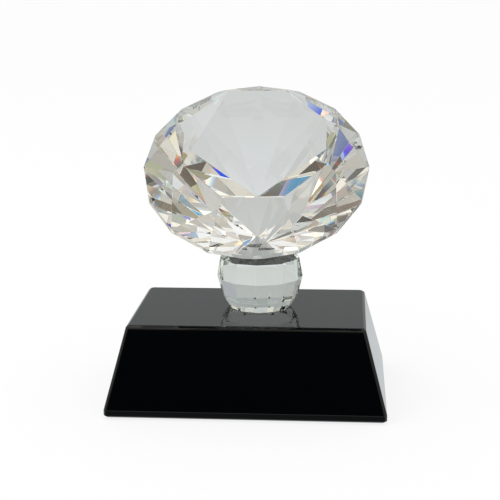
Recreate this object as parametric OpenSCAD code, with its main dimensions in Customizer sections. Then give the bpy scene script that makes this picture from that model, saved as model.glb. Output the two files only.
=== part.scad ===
// Crystal diamond award: a clear brilliant-cut gem, leaning back to show its table,
// stands on a clear faceted ball that is bonded to a black crystal plinth.
// The origin is at the centre of the underside, +Z is up and -Y is the front.

/* [Diamond] */
// Diameter across the corners of the girdle
gem_d = 100; // [60:0.5:140]
// Diameter across the corners of the table, as a share of the girdle
table_ratio = 0.67; // [0.55:0.01:0.75]
// Height of the crown above the girdle, as a share of the girdle diameter
crown_ratio = 0.16; // [0.1:0.01:0.2]
// Thickness of the girdle band
girdle_t = 2.4; // [0.8:0.1:4]
// How far the crown's break facets climb the ridge from the girdle towards the table
crown_break = 0.75; // [0.3:0.05:0.8]
// Slope of the eight pavilion main facets, from the girdle plane
pavilion_angle = 43.4; // [40:0.1:46]
// How far the pavilion's break facets run from the girdle towards the culet
pavilion_break = 0.74; // [0.5:0.05:0.85]
// Lean of the gem's axis from the vertical, towards the front
gem_tilt = 39.5; // [36:0.1:43]
// Turn of the gem about the vertical
gem_turn = 2; // [-5:0.5:5]
// Depth ground off the pavilion facet that is bonded to the neck
seat_grind = 0.6; // [0.3:0.1:1]

/* [Neck ball] */
// Diameter across the corners of the ball's widest ring
ball_d = 38.8; // [34:0.2:42]
// Number of facets round the ball
ball_sides = 12; // [8:1:24]
// Height of the neck between its two ground flats, on its own axis
neck_h = 28; // [26:0.5:30]
// Height of the upper ring, where the low facets of the crown begin
upper_ring_h = 22.6; // [20:0.1:24]
// Height of the widest ring
mid_ring_h = 13.9; // [12:0.1:15]
// Height of the lower ring
lower_ring_h = 4.8; // [3:0.1:7]
// Width of the upper flat, as a share of the ball's
seat_ratio = 0.39; // [0.36:0.01:0.5]
// Width of the upper ring, as a share of the ball's
upper_ring_ratio = 0.92; // [0.85:0.01:0.96]
// Width of the lower ring, as a share of the ball's
lower_ring_ratio = 0.885; // [0.85:0.005:0.96]
// Width of the lower flat, as a share of the ball's
foot_ratio = 0.72; // [0.6:0.01:0.8]
// Offset of the neck's axis to the right of the plinth's centre
neck_x = 4; // [-6:0.2:6]
// Offset of the neck's axis to the back of the plinth's centre
neck_y = 3; // [-6:0.2:6]

/* [Plinth] */
// Width of the plinth's underside
plinth_w = 122; // [100:1:160]
// Depth of the plinth's underside
plinth_d = 83; // [70:1:110]
// Width of the plinth's top
plinth_top_w = 103; // [80:1:140]
// Depth of the plinth's top
plinth_top_d = 65; // [50:1:90]
// Height of the plinth's block
plinth_h = 39; // [25:1:60]
// Chamfer round the top
top_chamfer = 1; // [0.5:0.1:2]
// Height of the upright band at the foot
foot_band = 3.2; // [1.5:0.1:8]
// Chamfer round the underside
foot_chamfer = 0.8; // [0.3:0.1:1.2]
// Width cut off each upright corner, along the sides
corner_cut = 1; // [0.6:0.1:4]

/* [Bonds and pad] */
// Thickness of the cured adhesive films
bond_t = 0.15; // [0.1:0.05:0.3]
// Radius of the film between the gem and the neck
upper_bond_r = 5.5; // [3:0.5:6]
// Gap left between the lower film and the edge of the neck's flat
lower_bond_inset = 0.8; // [0.4:0.1:2]
// Thickness of the pad under the plinth
pad_t = 0.8; // [0.5:0.1:2]
// Distance from the edge of the underside to the pad
pad_inset = 4; // [2:0.5:10]
// Radius of the pad's corners
pad_r = 5; // [2:0.5:10]

/* [Hidden] */
$fn = 96;

// The gem's symmetry: eight main facets, and sixteen sides on the girdle
mains = 8;
pitch = 360 / mains;
half_pitch = pitch / 2;
// The first main faces the front
front = -90;

gem_r = gem_d / 2;
table_r = gem_r * table_ratio;
girdle_z = girdle_t / 2;
table_z = girdle_z + crown_ratio * gem_d;
table_apothem = table_r * cos(half_pitch);
crown_slope = (table_z - girdle_z) / (gem_r - table_apothem);
crown_tip_r = gem_r - crown_break * (gem_r - table_r);
pavilion_tip_r = gem_r * (1 - pavilion_break);

// Levels of the stack, from the surface up
plinth_top_z = pad_t + plinth_h;
neck_z = plinth_top_z + bond_t;
seat_z = neck_z + neck_h;
ball_r = ball_d / 2;
// Clear radius inside the sides of the neck's lower flat
foot_inner_r = ball_r * foot_ratio * cos(180 / ball_sides);
seat_angle = pavilion_angle - gem_tilt;
// Height of the girdle's centre over the seat, once the seat facet is ground
gem_lift = gem_r * sin(pavilion_angle) + girdle_z * cos(pavilion_angle) - seat_grind;
// Place of the girdle's centre along the seat, from the neck's axis
gem_slide = [-1.3, -3.4];
// The crown's facets run on past the seat, up to where the ball is a quarter of its width
crest_ratio = 0.25;
crest_h = upper_ring_h
    + (neck_h - upper_ring_h) * (upper_ring_ratio - crest_ratio) / (upper_ring_ratio - seat_ratio);
// Larger than any piece, for cutting tools
huge = 300;

// A point at a radius, an angle and a height
function polar(r, a, z) = [r * cos(a), r * sin(a), z];

// Height of the crown's main facets at a distance from the axis along their centre line
function crown_h(apothem) = table_z - (apothem - table_apothem) * crown_slope;

// Height of the pavilion's main facets at such a distance
function pavilion_h(apothem) = -girdle_z - (gem_r - apothem) * tan(pavilion_angle);

// The gem's corners, ring by ring; ring i starts at index 8 * i
gem_points = concat(
    // 0: table corners, between the mains
    [for (k = [0:mains - 1]) polar(table_r, front + (k + 0.5) * pitch, table_z)],
    // 8: tips of the crown's break facets, on the ridges between the mains
    [for (k = [0:mains - 1])
        polar(crown_tip_r, front + (k + 0.5) * pitch, crown_h(crown_tip_r * cos(half_pitch)))],
    // 16 and 24: upper girdle corners, first at the mains and then between them
    [for (k = [0:mains - 1]) polar(gem_r, front + k * pitch, girdle_z)],
    [for (k = [0:mains - 1]) polar(gem_r, front + (k + 0.5) * pitch, girdle_z)],
    // 32 and 40: lower girdle corners
    [for (k = [0:mains - 1]) polar(gem_r, front + k * pitch, -girdle_z)],
    [for (k = [0:mains - 1]) polar(gem_r, front + (k + 0.5) * pitch, -girdle_z)],
    // 48: tips of the pavilion's break facets
    [for (k = [0:mains - 1])
        polar(pavilion_tip_r, front + (k + 0.5) * pitch, pavilion_h(pavilion_tip_r * cos(half_pitch)))],
    // 56: the culet
    [[0, 0, pavilion_h(0)]]
);

// Index of corner k of a ring, counted round and round
function corner(ring, k) = mains * ring + (k + mains) % mains;

// Each facet's corners, clockwise as seen from outside
gem_facets = concat(
    [[for (k = [0:mains - 1]) corner(0, mains - 1 - k)]],
    [for (k = [0:mains - 1])
        [corner(0, k), corner(0, k - 1), corner(1, k - 1), corner(2, k), corner(1, k)]],
    [for (k = [0:mains - 1]) [corner(1, k), corner(2, k), corner(3, k)]],
    [for (k = [0:mains - 1]) [corner(1, k), corner(3, k), corner(2, k + 1)]],
    [for (k = [0:mains - 1]) [corner(3, k), corner(2, k), corner(4, k), corner(5, k)]],
    [for (k = [0:mains - 1]) [corner(2, k + 1), corner(3, k), corner(5, k), corner(4, k + 1)]],
    [for (k = [0:mains - 1]) [corner(5, k), corner(4, k), corner(6, k)]],
    [for (k = [0:mains - 1]) [corner(4, k + 1), corner(5, k), corner(6, k)]],
    [for (k = [0:mains - 1]) [corner(6, k), corner(4, k), corner(6, k - 1), corner(7, 0)]]
);

// The cut gem, with its axis upright and its girdle at Z = 0
module cut_gem() {
    polyhedron(points = gem_points, faces = gem_facets, convexity = 2);
}

// Puts its children on the neck's upper flat, whose normal becomes their +Z
module on_seat() {
    translate([neck_x, neck_y, seat_z])
        rotate([0, 0, gem_turn])
            rotate([-seat_angle, 0, 0])
                children();
}

// A ring of eight corners: a rectangle with its corners cut off, at one height
function ring(w, d, cut, z) = [
    [w / 2, -d / 2 + cut, z],
    [w / 2, d / 2 - cut, z],
    [w / 2 - cut, d / 2, z],
    [-w / 2 + cut, d / 2, z],
    [-w / 2, d / 2 - cut, z],
    [-w / 2, -d / 2 + cut, z],
    [-w / 2 + cut, -d / 2, z],
    [w / 2 - cut, -d / 2, z]
];

// A solid through a stack of rings, closed at both ends
module stacked_rings(rings) {
    n = len(rings[0]);
    last = len(rings) - 1;
    sides = [for (i = [0:last - 1]) for (k = [0:n - 1])
        [i * n + k, (i + 1) * n + k, (i + 1) * n + (k + 1) % n, i * n + (k + 1) % n]];
    bottom = [for (k = [0:n - 1]) k];
    top = [for (k = [0:n - 1]) last * n + n - 1 - k];
    polyhedron(points = [for (r = rings) each r], faces = concat([bottom], sides, [top]), convexity = 2);
}

// Size of the plinth's flanks at a depth below its top
function plinth_w_at(drop) = plinth_top_w + (plinth_w - plinth_top_w) * drop / (plinth_h - foot_band);
function plinth_d_at(drop) = plinth_top_d + (plinth_d - plinth_top_d) * drop / (plinth_h - foot_band);

// A flat plate with rounded corners
module rounded_plate(w, d, r, t) {
    linear_extrude(t)
        union() {
            square([w, d - 2 * r], center = true);
            square([w - 2 * r, d], center = true);
            for (x = [-1, 1], y = [-1, 1])
                translate([x * (w / 2 - r), y * (d / 2 - r)])
                    circle(r);
        }
}

// Clear gem, with its seat facet ground down to bed on the neck
module diamond() {
    color("azure", 0.4)
        on_seat()
            difference() {
                translate([gem_slide.x, gem_slide.y, bond_t + gem_lift])
                    rotate([pavilion_angle, 0, 0])
                        cut_gem();
                translate([-huge / 2, -huge / 2, bond_t - huge])
                    cube(huge);
            }
}

// One ring of the ball's corners, the first of them at the front
function ball_ring(ratio, z) = [
    for (k = [0:ball_sides - 1]) polar(ball_r * ratio, front + k * 360 / ball_sides, z)
];

// Clear faceted ball with a level lower flat and a slightly tilted upper one
module neck_ball() {
    color("lightcyan", 0.5)
        difference() {
            translate([neck_x, neck_y, neck_z])
                stacked_rings([
                    ball_ring(foot_ratio, 0),
                    ball_ring(lower_ring_ratio, lower_ring_h),
                    ball_ring(1, mid_ring_h),
                    ball_ring(upper_ring_ratio, upper_ring_h),
                    ball_ring(crest_ratio, crest_h)
                ]);
            on_seat()
                translate([-huge / 2, -huge / 2, 0])
                    cube(huge);
        }
}

// Black crystal block: four sloping flanks over an upright foot, with polished chamfers
module plinth() {
    color([0.03, 0.03, 0.035])
        translate([0, 0, pad_t])
            stacked_rings([
                ring(plinth_w - 2 * foot_chamfer, plinth_d - 2 * foot_chamfer, corner_cut, 0),
                ring(plinth_w, plinth_d, corner_cut, foot_chamfer),
                ring(plinth_w, plinth_d, corner_cut, foot_band),
                ring(plinth_w_at(top_chamfer), plinth_d_at(top_chamfer), corner_cut, plinth_h - top_chamfer),
                ring(plinth_top_w - 2 * top_chamfer, plinth_top_d - 2 * top_chamfer, corner_cut, plinth_h)
            ]);
}

// Clear film of cured adhesive between the gem and the neck
module upper_bond() {
    color("white", 0.3)
        on_seat()
            cylinder(r = upper_bond_r, h = bond_t);
}

// Clear film of cured adhesive between the neck and the plinth
module lower_bond() {
    color("white", 0.3)
        translate([neck_x, neck_y, plinth_top_z])
            cylinder(r = foot_inner_r - lower_bond_inset, h = bond_t);
}

// Soft black pad that the award stands on
module base_pad() {
    color([0.08, 0.08, 0.08])
        rounded_plate(plinth_w - 2 * pad_inset, plinth_d - 2 * pad_inset, pad_r, pad_t);
}

diamond();
neck_ball();
plinth();
upper_bond();
lower_bond();
base_pad();
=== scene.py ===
import math

import bmesh
import bpy
from mathutils import Matrix, Vector


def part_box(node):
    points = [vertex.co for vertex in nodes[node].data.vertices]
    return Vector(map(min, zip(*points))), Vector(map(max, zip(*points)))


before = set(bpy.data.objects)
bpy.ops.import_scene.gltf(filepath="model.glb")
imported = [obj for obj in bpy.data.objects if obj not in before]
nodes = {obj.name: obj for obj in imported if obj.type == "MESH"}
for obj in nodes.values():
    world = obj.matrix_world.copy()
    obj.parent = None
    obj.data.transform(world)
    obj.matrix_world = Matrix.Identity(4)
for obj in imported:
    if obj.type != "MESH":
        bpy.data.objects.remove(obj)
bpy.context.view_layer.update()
scene = bpy.context.scene

MM = 0.001


# ---------------------------------------------------------------- shader helpers


class Shader:
    """A small wrapper round a node tree, called s below, so that a material reads as a recipe."""

    def __init__(self, name, owner=None):
        self.owner = owner or bpy.data.materials.new(name)
        self.owner.use_nodes = True
        self.tree = self.owner.node_tree
        self.tree.nodes.clear()

    def add(self, kind, **settings):
        """Adds a node. Each setting is a property of the node, or an input with _ for its spaces."""
        node = self.tree.nodes.new(kind)
        for key, value in settings.items():
            if hasattr(node, key):
                setattr(node, key, value)
            else:
                self.put(node.inputs[key.replace("_", " ")], value)
        return node

    def put(self, socket, value):
        """Links a socket to another node's output, or sets its value."""
        if isinstance(value, bpy.types.NodeSocket):
            self.tree.links.new(value, socket)
        else:
            socket.default_value = value

    def math(self, operation, a, b=0.0, c=0.0, clamp=False):
        node = self.tree.nodes.new("ShaderNodeMath")
        node.operation = operation
        node.use_clamp = clamp
        for socket, value in zip(node.inputs, (a, b, c)):
            self.put(socket, value)
        return node.outputs[0]

    def ramp(self, value, stops):
        """A colour ramp; stops lists (position, colour)."""
        node = self.tree.nodes.new("ShaderNodeValToRGB")
        elements = node.color_ramp.elements
        while len(elements) < len(stops):
            elements.new(0.5)
        for element, (position, colour) in zip(elements, stops):
            element.position = position
            element.color = (*colour, 1)
        self.put(node.inputs[0], value)
        return node.outputs["Color"]

    def mix(self, factor, a, b):
        node = self.tree.nodes.new("ShaderNodeMixShader")
        for socket, value in zip(node.inputs, (factor, a, b)):
            self.put(socket, value)
        return node.outputs[0]

    def near(self, where, centre, radius):
        """1 within a radius of a point, and 0 outside it."""
        away = self.add("ShaderNodeVectorMath", operation="DISTANCE")
        self.put(away.inputs[0], where)
        self.put(away.inputs[1], centre)
        return self.math("LESS_THAN", away.outputs["Value"], radius)

    def finish(self, surface):
        is_world = isinstance(self.owner, bpy.types.World)
        out = self.tree.nodes.new("ShaderNodeOutputWorld" if is_world else "ShaderNodeOutputMaterial")
        self.put(out.inputs["Surface"], surface)
        return self.owner


def grey(tone):
    return (tone, tone, tone, 1)


def shades(stops):
    """Ramp stops of plain greys, from (position, tone)."""
    return [(position, (tone,) * 3) for position, tone in stops]


# ---------------------------------------------------------------- materials

CRYSTAL_IOR = 1.517
GEM_TINT = (0.99, 0.99, 0.985, 1)
NECK_TINT = (0.97, 0.985, 0.975, 1)
SHADOW_TINT = (0.93, 0.95, 0.95, 1)
# How much of the upper film is clouded by the ground seat behind it
UPPER_MILK = 0.35


def clear_crystal(name, tint, films, chip_size=0.0):
    """Polished optical glass with a trace of dust.

    films lists the (centre, radius) of the adhesive on it, where light passes straight on.
    chip_size is the radius of the few dark chips on its surface, as a part of their spacing.
    """
    dust_level, haze, chips_from = 0.62, 0.12, 0.8
    s = Shader(name)
    where = s.add("ShaderNodeTexCoord").outputs["Object"]
    dust = s.add("ShaderNodeTexNoise", Vector=where, Scale=420.0, Detail=3.0, Roughness=0.6)
    dusty = s.math("SUBTRACT", dust.outputs["Fac"], dust_level, clamp=True)
    rough = s.math("MULTIPLY", dusty, haze)
    glass = s.add("ShaderNodeBsdfGlass", Color=tint, Roughness=rough, IOR=CRYSTAL_IOR)
    shadow = s.add("ShaderNodeLightPath").outputs["Is Shadow Ray"]
    through = s.add("ShaderNodeBsdfTransparent", Color=SHADOW_TINT)
    surface = s.mix(shadow, glass.outputs[0], through.outputs[0])
    if chip_size:
        cells = s.add("ShaderNodeTexVoronoi", Vector=where, Scale=210.0)
        pick = s.add("ShaderNodeSeparateColor", Color=cells.outputs["Color"]).outputs[0]
        rare = s.math("GREATER_THAN", pick, chips_from)
        chip = s.math("MULTIPLY", s.math("LESS_THAN", cells.outputs["Distance"], chip_size), rare)
        surface = s.mix(chip, surface, s.add("ShaderNodeBsdfDiffuse", Color=grey(0.02)).outputs[0])
    for centre, radius in films:
        straight = s.add("ShaderNodeBsdfTransparent")
        surface = s.mix(s.near(where, centre, radius), surface, straight.outputs[0])
    return s.finish(surface)


def black_crystal():
    """Polished black glass with faint smears and a few dull specks."""
    speck_size, specks_from, speck_rough = 0.028, 0.58, 0.4
    s = Shader("black_crystal")
    where = s.add("ShaderNodeTexCoord").outputs["Object"]
    cloud = s.add("ShaderNodeTexNoise", Vector=where, Scale=38.0, Detail=4.0, Roughness=0.55)
    smear = s.ramp(cloud.outputs["Fac"], shades([(0.35, 0.012), (0.75, 0.03)]))
    cells = s.add("ShaderNodeTexVoronoi", Vector=where, Scale=95.0)
    chance = s.add("ShaderNodeTexNoise", Vector=where, Scale=55.0)
    rare = s.math("GREATER_THAN", chance.outputs["Fac"], specks_from)
    speck = s.math("MULTIPLY", s.math("LESS_THAN", cells.outputs["Distance"], speck_size), rare)
    rough = s.math("ADD", smear, s.math("MULTIPLY", speck, speck_rough))
    colour = s.ramp(speck, [(0.0, (0.0007, 0.001, 0.0015)), (1.0, (0.05, 0.05, 0.052))])
    glass = s.add("ShaderNodeBsdfPrincipled", Base_Color=colour, Roughness=rough, IOR=1.52)
    return s.finish(glass.outputs[0])


def felt():
    """Short black felt: a fine noise in its colour and its bump."""
    s = Shader("pad_felt")
    where = s.add("ShaderNodeTexCoord").outputs["Object"]
    fibre = s.add("ShaderNodeTexNoise", Vector=where, Scale=1500.0, Detail=4.0, Roughness=0.7)
    colour = s.ramp(fibre.outputs["Fac"], [(0.3, (0.012, 0.012, 0.013)), (0.7, (0.045, 0.045, 0.047))])
    bump = s.add("ShaderNodeBump", Strength=0.6, Distance=0.0002, Height=fibre.outputs["Fac"])
    dark_sheet = s.add("ShaderNodeBsdfPrincipled", Base_Color=colour, Roughness=0.95, Normal=bump.outputs[0])
    s.put(dark_sheet.inputs["Sheen Weight"], 0.4)
    return s.finish(dark_sheet.outputs[0])


def adhesive(name, milk):
    """A film of clear adhesive with tiny bubbles. milk is how much of it is clouded."""
    bubble_size, bubble_shine = 0.12, 0.35
    s = Shader(name)
    where = s.add("ShaderNodeTexCoord").outputs["Object"]
    cells = s.add("ShaderNodeTexVoronoi", Vector=where, Scale=900.0)
    bubble = s.math("LESS_THAN", cells.outputs["Distance"], bubble_size)
    straight = s.add("ShaderNodeBsdfTransparent", Color=(0.98, 0.985, 0.98, 1))
    shine = s.add("ShaderNodeBsdfGlossy", Color=grey(0.9), Roughness=0.2)
    clear = s.mix(s.math("MULTIPLY", bubble, bubble_shine), straight.outputs[0], shine.outputs[0])
    glow = s.add("ShaderNodeBsdfTranslucent", Color=grey(0.85))
    paint = s.add("ShaderNodeBsdfDiffuse", Color=grey(0.85))
    cloud = s.mix(0.5, glow.outputs[0], paint.outputs[0])
    return s.finish(s.mix(milk, clear, cloud))


# ---------------------------------------------------------------- the object

FACET_POLISH = 0.12 * MM
PLINTH_POLISH = 0.25 * MM
# Edges that turn by more than this are broken
EDGE_ANGLE = math.radians(2)
WELD_GAP = 0.01 * MM


def film_place(node):
    """The centre and the radius of a round film of adhesive."""
    low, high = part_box(node)
    centre = (Vector(low) + Vector(high)) / 2
    return tuple(centre), (high[0] - low[0]) / 2


def dress(node, material, polish=0.0, segments=2):
    """Gives a CAD node its material, and breaks its edges by the width that polishing takes off."""
    piece = nodes[node]
    piece.data.materials.clear()
    piece.data.materials.append(material)
    weld = piece.modifiers.new("weld", "WELD")
    weld.merge_threshold = WELD_GAP
    if polish:
        bevel = piece.modifiers.new("edge polish", "BEVEL")
        bevel.width = polish
        bevel.segments = segments
        bevel.limit_method = "ANGLE"
        bevel.angle_limit = EDGE_ANGLE


upper_film = film_place("upper_bond")
lower_film = film_place("lower_bond")
gem_glass = clear_crystal("clear_crystal", GEM_TINT, [upper_film])
neck_glass = clear_crystal("neck_crystal", NECK_TINT, [upper_film, lower_film], chip_size=0.09)
dress("diamond", gem_glass, FACET_POLISH, segments=1)
dress("neck_ball", neck_glass, FACET_POLISH, segments=1)
dress("plinth", black_crystal(), PLINTH_POLISH)
dress("base_pad", felt())
dress("upper_bond", adhesive("upper_adhesive", UPPER_MILK))
dress("lower_bond", adhesive("lower_adhesive", 0.0))


# ---------------------------------------------------------------- stage

# Directions in the room are an azimuth from the front, to the right, and an elevation, both in degrees.
ROOM_RADIUS = 3
FLOOR_REACH = 9
# The front wall's red, green and blue
WARMTH = (1.07, 1.02, 0.91)
# The front wall's tone at the horizon, and how much it gains with each degree of elevation
FRONT_TONE, FRONT_RISE = 0.42, 0.006
# Its panes: width, height, the blur of their edges, and how their tones are spread
PANE_WIDTH, PANE_HEIGHT, PANE_BLUR = 5, 4, 0.12
PANE_SHADES = [(0.0, 0.15), (0.15, 0.6), (0.5, 1.0), (0.8, 1.3), (1.0, 2.2)]
# The backdrop's colour, by elevation
BACKDROP = [
    (0, (0.50, 0.51, 0.50)),
    (7, (0.48, 0.49, 0.48)),
    (13, (0.375, 0.40, 0.395)),
    (30, (0.60, 0.62, 0.62)),
    (45, (0.55, 0.56, 0.55)),
]
# How fast the backdrop takes over from front to back, and its share straight to the sides
SIDE_SLOPE, SIDE_SHARE = 3, 0.8
# The ceiling: the elevation that it begins at, and its tone
CEILING_AT, CEILING = 80, 0.08
# The colour of the sweep that the award stands on, by the distance from its centre, in metres: a painted
# pool of light
SWEEP_LIGHT_POOL = [
    (0.11, (0.76, 0.79, 0.81)),
    (0.22, (0.655, 0.68, 0.675)),
    (0.40, (0.59, 0.60, 0.58)),
    (1.00, (0.52, 0.53, 0.52)),
]
# Cards and lamps round the award: azimuth, elevation, half width, half height, colour.
# Each hides those above it in the list.
CARDS = {
    "brown, over the front": (-3, 34, 8, 12, (0.13, 0.11, 0.09)),
    "dark grey, left": (-32, 27, 4, 4, (0.15, 0.15, 0.15)),
    "sky blue, left": (-24, 33, 4.5, 3.5, (0.15, 0.35, 0.55)),
    "brown grey, low on the left": (-44, 17, 5, 5, (0.22, 0.20, 0.17)),
    "brown grey, low on the right": (45, 16, 4, 7, (0.20, 0.18, 0.14)),
    "olive, right": (16, 17, 4, 4, (0.36, 0.33, 0.20)),
    "pale olive, low": (5, 12, 7, 3, (0.42, 0.43, 0.28)),
    "slate blue, lowest": (1, 3, 7, 3.5, (0.11, 0.17, 0.40)),
    "deep blue, right": (30.5, 25, 3, 3, (0.01, 0.08, 0.88)),
    "near black, right": (12, 24, 3, 3, (0.10, 0.09, 0.07)),
    "lamp, behind on the right": (136, 37, 2.5, 2, (2.5, 2.5, 2.5)),
    "lamp, high on the right": (60, 54, 5, 6, (3.0, 3.0, 3.0)),
    "pale pink, right": (18, 25, 4, 3, (0.62, 0.54, 0.54)),
    "dull pink, left": (-36, 21, 4, 3, (0.44, 0.38, 0.36)),
    "white, high on the right": (34, 46, 14, 9, (1.0, 1.0, 1.0)),
    "white, high on the left": (-48, 40, 9, 6, (0.95, 0.95, 0.95)),
    "white, right": (26, 31, 4, 3, (1.0, 1.0, 1.0)),
    "sand, behind on the left": (-124, 1, 9, 4, (0.50, 0.44, 0.31)),
}
# The blur of their edges, and how far apart the colours are taken on the cards and on the panes
CARD_BLUR, CARD_FRINGE, PANE_FRINGE = 2.5, 0.9, 0.18
# How much of the floor's white is emitted to the camera; the rest is paint that takes the shadow
FLOOR_GLOW = 0.8


def mesh_object(name, corners, faces, material):
    mesh = bpy.data.meshes.new(name)
    mesh.from_pydata(corners, [], faces)
    mesh.materials.append(material)
    piece = bpy.data.objects.new(name, mesh)
    scene.collection.objects.link(piece)
    return piece


def flat(left, right, near, far, height):
    """The corners of a rectangle that lies flat."""
    return [(left, near, height), (right, near, height), (right, far, height), (left, far, height)]


def upright(left, right, y, top):
    """The corners of a rectangle that stands on the floor and faces the award."""
    return [(left, y, 0), (right, y, 0), (right, y, top), (left, y, top)]


def floor_material():
    """White to the camera; the crystal sees the pale sweep that the award stands on, with a painted pool of
    light round the award.
    """
    s = Shader("floor")
    path = s.add("ShaderNodeLightPath")
    where = s.add("ShaderNodeSeparateXYZ", Vector=s.add("ShaderNodeTexCoord").outputs["Object"])
    across = s.math("MULTIPLY", where.outputs["X"], where.outputs["X"])
    away = s.math("SQRT", s.math("MULTIPLY_ADD", where.outputs["Y"], where.outputs["Y"], across))
    mirrored = s.math("ADD", path.outputs["Is Glossy Ray"], path.outputs["Is Transmission Ray"], clamp=True)
    paint = s.add("ShaderNodeBsdfDiffuse", Color=grey(0.9))
    white = s.add("ShaderNodeEmission", Color=grey(1), Strength=1.0)
    # Painted pool of light: the sweep glows brighter near the award and darker further out.
    sweep = s.add("ShaderNodeEmission", Color=s.ramp(away, SWEEP_LIGHT_POOL), Strength=1.0)
    glow = s.math("MULTIPLY", path.outputs["Is Camera Ray"], FLOOR_GLOW)
    seen = s.mix(glow, paint.outputs[0], white.outputs[0])
    return s.finish(s.mix(mirrored, seen, sweep.outputs[0]))


def seen_by_crystal_only(piece):
    """Hides a piece of the stage from all but reflected and refracted rays."""
    piece.visible_camera = False
    piece.visible_diffuse = False
    piece.visible_shadow = False
    return piece


def board(name, corners, colour):
    """A flat board that only the award's pieces see."""
    s = Shader(name)
    paint = s.finish(s.add("ShaderNodeEmission", Color=(*colour, 1), Strength=1.0).outputs[0])
    return seen_by_crystal_only(mesh_object(name, corners, [(0, 1, 2, 3)], paint))


def inside(s, middle, half, value):
    """1 where a value is nearer than half to the middle and 0 elsewhere, with a blurred edge."""
    off = s.math("ABSOLUTE", s.math("SUBTRACT", value, middle))
    return s.math("MULTIPLY_ADD", s.math("SUBTRACT", half, off), 1 / CARD_BLUR, 0.5, clamp=True)


def blend(s, under, over, share):
    """under, replaced by over as share goes from 0 to 1."""
    return s.math("MULTIPLY_ADD", s.math("SUBTRACT", over, under), share, under)


def room_tone(s, azimuth, elevation, behind, channel):
    """One colour of the room that way: the paned front wall, the backdrop, the ceiling and the cards."""
    apart = channel - 1
    across = s.math("DIVIDE", s.math("ADD", azimuth, apart * PANE_FRINGE), PANE_WIDTH)
    wall = s.add("ShaderNodeCombineXYZ", X=across, Y=s.math("DIVIDE", elevation, PANE_HEIGHT)).outputs[0]
    panes = s.add("ShaderNodeTexVoronoi", feature="SMOOTH_F1", Vector=wall, Scale=1.0, Smoothness=PANE_BLUR)
    pick = s.add("ShaderNodeSeparateColor", Color=panes.outputs["Color"]).outputs[0]
    shade = s.ramp(pick, shades(PANE_SHADES))
    front = s.math("MULTIPLY", s.math("MULTIPLY_ADD", elevation, FRONT_RISE, FRONT_TONE), shade)
    front = s.math("MULTIPLY", front, WARMTH[channel])
    height = s.math("DIVIDE", elevation, 90, clamp=True)
    back = s.ramp(height, shades((at / 90, colour[channel]) for at, colour in BACKDROP))
    tone = blend(s, front, back, behind)
    tone = blend(s, tone, CEILING, s.math("GREATER_THAN", elevation, CEILING_AT))
    for card_azimuth, card_elevation, half_width, half_height, colour in CARDS.values():
        wide = inside(s, card_azimuth + apart * CARD_FRINGE, half_width, azimuth)
        high = inside(s, card_elevation, half_height, elevation)
        tone = blend(s, tone, colour[channel], s.math("MULTIPLY", wide, high))
    return tone


def studio_material():
    """The room by direction. Its three colours are taken a little apart, for the fire of cut crystal."""
    s = Shader("studio_walls")
    where = s.add("ShaderNodeSeparateXYZ", Vector=s.add("ShaderNodeTexCoord").outputs["Object"])
    to_front = s.math("MULTIPLY", where.outputs["Y"], -1)
    degree = math.degrees(1)
    azimuth = s.math("MULTIPLY", s.math("ARCTAN2", where.outputs["X"], to_front), degree)
    elevation = s.math("MULTIPLY", s.math("ARCSINE", where.outputs["Z"]), degree)
    behind = s.math("MULTIPLY_ADD", where.outputs["Y"], SIDE_SLOPE, SIDE_SHARE, clamp=True)
    room = s.add("ShaderNodeCombineColor")
    for channel in range(3):
        s.put(room.inputs[channel], room_tone(s, azimuth, elevation, behind, channel))
    return s.finish(s.add("ShaderNodeEmission", Color=room.outputs[0], Strength=1.0).outputs[0])


def studio_walls():
    """A hemisphere over the award, which shows the room to its pieces."""
    dome = bmesh.new()
    bmesh.ops.create_uvsphere(dome, u_segments=64, v_segments=32, radius=1.0)
    everything = dome.verts[:] + dome.edges[:] + dome.faces[:]
    bmesh.ops.bisect_plane(dome, geom=everything, plane_co=(0, 0, 0), plane_no=(0, 0, -1), clear_outer=True)
    mesh = bpy.data.meshes.new("studio_walls")
    dome.to_mesh(mesh)
    dome.free()
    mesh.materials.append(studio_material())
    walls = bpy.data.objects.new("studio_walls", mesh)
    walls.scale = (ROOM_RADIUS, ROOM_RADIUS, ROOM_RADIUS)
    scene.collection.objects.link(walls)
    return seen_by_crystal_only(walls)


floor_corners = flat(-FLOOR_REACH, FLOOR_REACH, -FLOOR_REACH, FLOOR_REACH, 0)
floor = mesh_object("floor", floor_corners, [(0, 1, 2, 3)], floor_material())

world = bpy.data.worlds.new("studio")
scene.world = world
sky = Shader("studio", world)
sky.finish(sky.add("ShaderNodeBackground", Color=grey(1), Strength=1.0).outputs[0])
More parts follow.
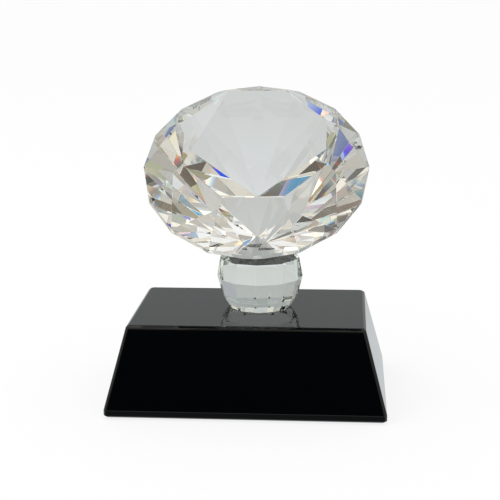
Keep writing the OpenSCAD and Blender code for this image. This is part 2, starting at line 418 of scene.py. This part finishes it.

# A low black board in front keeps the plinth's face black. It shows in reflections, but not through the gem.
# A narrow grey sheet before the plinth, a painted contact shadow, darkens its foot, and an olive card lies
# to the left.
plinth_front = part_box("plinth")[0][1]
BOARD_LEFT, BOARD_RIGHT, BOARD_Y, BOARD_TOP = -0.105, 0.072, -0.22, 0.075
SHEET_HEIGHT, SHADOW_DEPTH, SHADOW_GAP = 0.4 * MM, 16 * MM, 1 * MM
flag = board("black_flag", upright(BOARD_LEFT, BOARD_RIGHT, BOARD_Y, BOARD_TOP), (0.01, 0.01, 0.01))
flag.visible_transmission = False
# Painted contact shadow: a grey sheet on the floor just before the plinth, seen only by the award's pieces.
shadow_corners = flat(BOARD_LEFT, BOARD_RIGHT, plinth_front - SHADOW_DEPTH, plinth_front - SHADOW_GAP, SHEET_HEIGHT)
dark_sheet = board("painted_contact_shadow", shadow_corners, (0.13, 0.13, 0.13))
olive_corners = flat(left=-0.21, right=-0.11, near=-0.15, far=-0.04, height=SHEET_HEIGHT)
olive = board("olive_card", olive_corners, (0.38, 0.355, 0.22))
studio_walls()

# ---------------------------------------------------------------- light


def softbox(name, at, towards, size, power):
    """A square lamp that shows in no reflection."""
    light = bpy.data.lights.new(name, "AREA")
    light.shape = "SQUARE"
    light.size = size
    light.energy = power
    lamp = bpy.data.objects.new(name, light)
    lamp.location = at
    lamp.rotation_euler = (Vector(towards) - Vector(at)).to_track_quat("-Z", "Y").to_euler()
    scene.collection.objects.link(lamp)
    lamp.visible_glossy = False
    lamp.visible_transmission = False


softbox("key", at=(-0.7, -0.5, 1.3), towards=(0, 0, 0.08), size=0.8, power=4)

# ---------------------------------------------------------------- camera

CAMERA_AT = (0.0432, -0.5239, 0.18977)
YAW, PITCH, ROLL = math.radians(-4.73), math.radians(13.234), math.radians(-0.51)
SENSOR, LENS = 36, 86.59

ahead = Vector((math.sin(YAW) * math.cos(PITCH), math.cos(YAW) * math.cos(PITCH), -math.sin(PITCH)))
level = Vector((math.cos(YAW), -math.sin(YAW), 0))
above = level.cross(ahead)
across = level * math.cos(ROLL) + above * math.sin(ROLL)
upwards = above * math.cos(ROLL) - level * math.sin(ROLL)
camera = bpy.data.objects.new("camera", bpy.data.cameras.new("camera"))
camera.data.sensor_width = SENSOR
camera.data.lens = LENS
turn = Matrix((across, upwards, -ahead)).transposed().to_4x4()
camera.matrix_world = Matrix.Translation(CAMERA_AT) @ turn
scene.collection.objects.link(camera)
scene.camera = camera
scene.view_settings.view_transform = "Standard"
scene.cycles.max_bounces = 40
scene.cycles.glossy_bounces = 24
scene.cycles.transmission_bounces = 24
scene.cycles.transparent_max_bounces = 16
